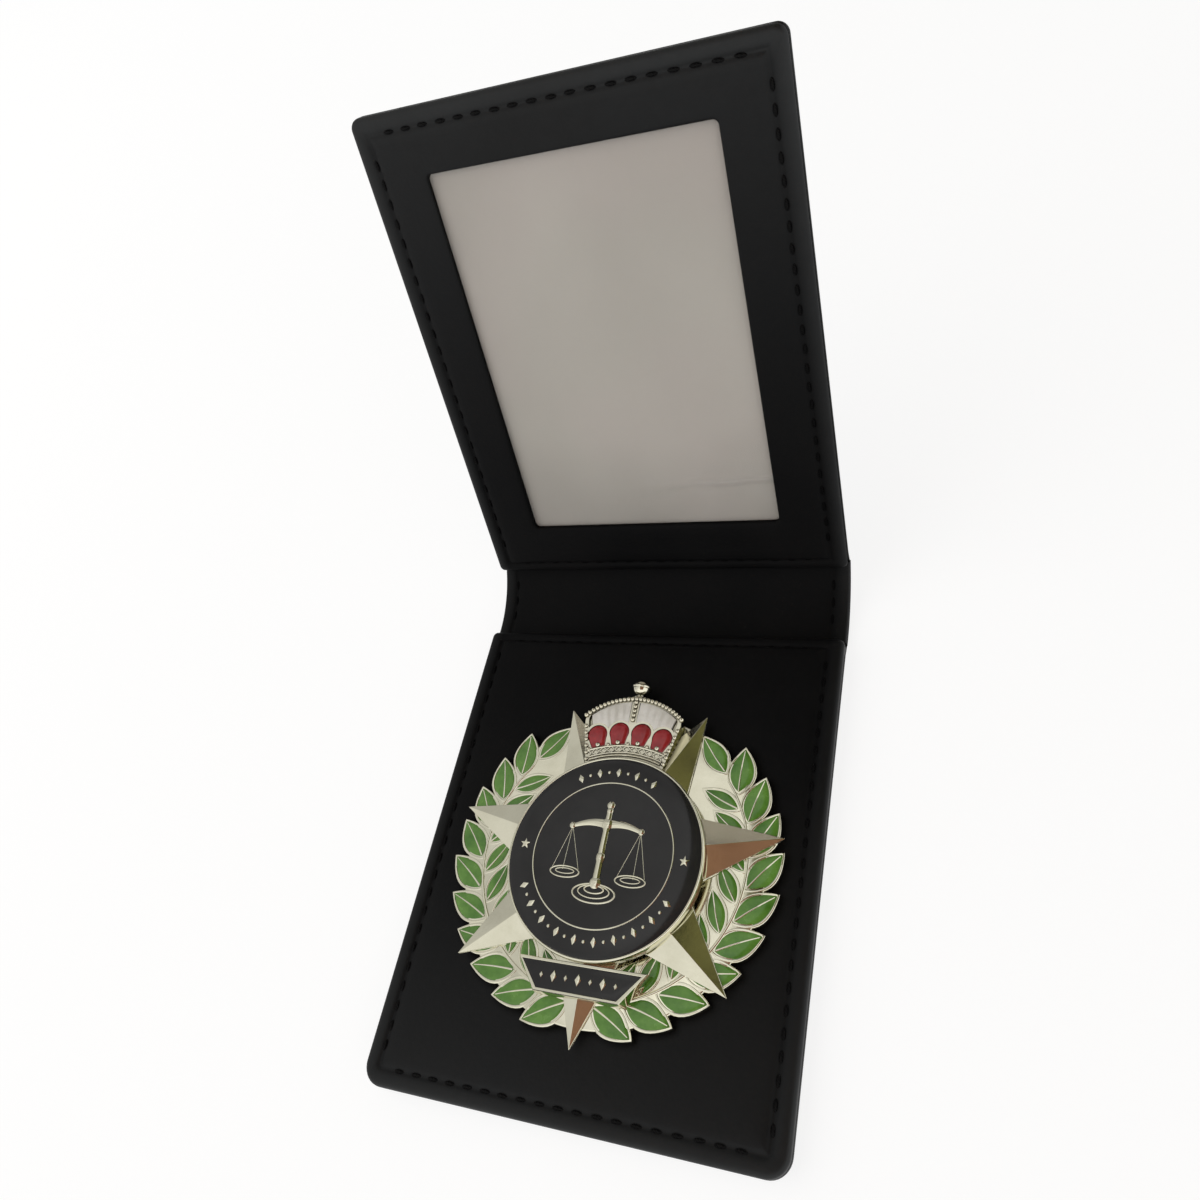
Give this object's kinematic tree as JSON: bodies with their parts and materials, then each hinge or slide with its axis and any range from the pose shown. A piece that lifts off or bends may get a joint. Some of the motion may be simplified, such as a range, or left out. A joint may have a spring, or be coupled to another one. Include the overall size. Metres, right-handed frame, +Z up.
{
  "type": "id badge wallet",
  "caption": "Fold-over leather badge wallet: padded panel with a layered enamelled metal badge, creased spine and a lid panel with a clear window over a sliding card.",
  "frame": {"origin": "middle of the lower panel's underside", "axes": "+X along the creases, towards the open side of the card pocket; +Y towards the spine; +Z up"},
  "size_m": [0.08, 0.1516, 0.0994],
  "materials": {
    "black_leather": "fine grain, satin",
    "stiffener_board": "matte",
    "foam": "matte foam",
    "thread": "twisted thread",
    "clear_film": "clear film",
    "pale_card": "matte card",
    "plated_metal": "polished nickel plate",
    "green_enamel": "gloss enamel",
    "black_enamel": "gloss enamel",
    "red_enamel": "gloss enamel",
    "white_enamel": "gloss enamel",
    "clear_epoxy": "clear dome",
    "brass_fixings": "plain turned"
  },
  "bodies": {
    "base": {"base_cover": "black_leather", "base_board": "stiffener_board", "base_pad": "foam", "base_face": "black_leather", "base_stitching": "thread", "wreath_plate": "plated_metal", "wreath_enamel": "green_enamel", "star": "plated_metal", "disc_body": "plated_metal", "disc_enamel": "black_enamel", "disc_dome": "clear_epoxy", "crest": "plated_metal", "crest_enamel": "red_enamel", "cap_enamel": "white_enamel", "name_bar": "plated_metal", "bar_enamel": "black_enamel", "badge_posts": "brass_fixings", "post_washers": "brass_fixings", "post_nuts": "brass_fixings"},
    "spine": {"spine_cover": "black_leather", "spine_lining": "black_leather", "spine_stitching": "thread"},
    "lid": {"lid_cover": "black_leather", "lid_board": "stiffener_board", "lid_face": "black_leather", "window_film": "clear_film", "lid_stitching": "thread"},
    "card": {"insert_card": "pale_card"}
  },
  "joints": [
    {"name": "spine_fold", "type": "hinge", "parent": "base", "child": "spine", "pos_m": [0, 0.0498, 0.00055], "axis": [1, 0, 0], "range_deg": [-20, 70]},
    {"name": "lid_fold", "type": "hinge", "parent": "spine", "child": "lid", "pos_m": [0, 0.06437, 0.00585], "axis": [1, 0, 0], "range_deg": [-47, 43]},
    {"name": "card_slide", "type": "slide", "parent": "lid", "child": "card", "axis": [1, 0, 0], "range_m": [0, 0.076]}
  ]
}
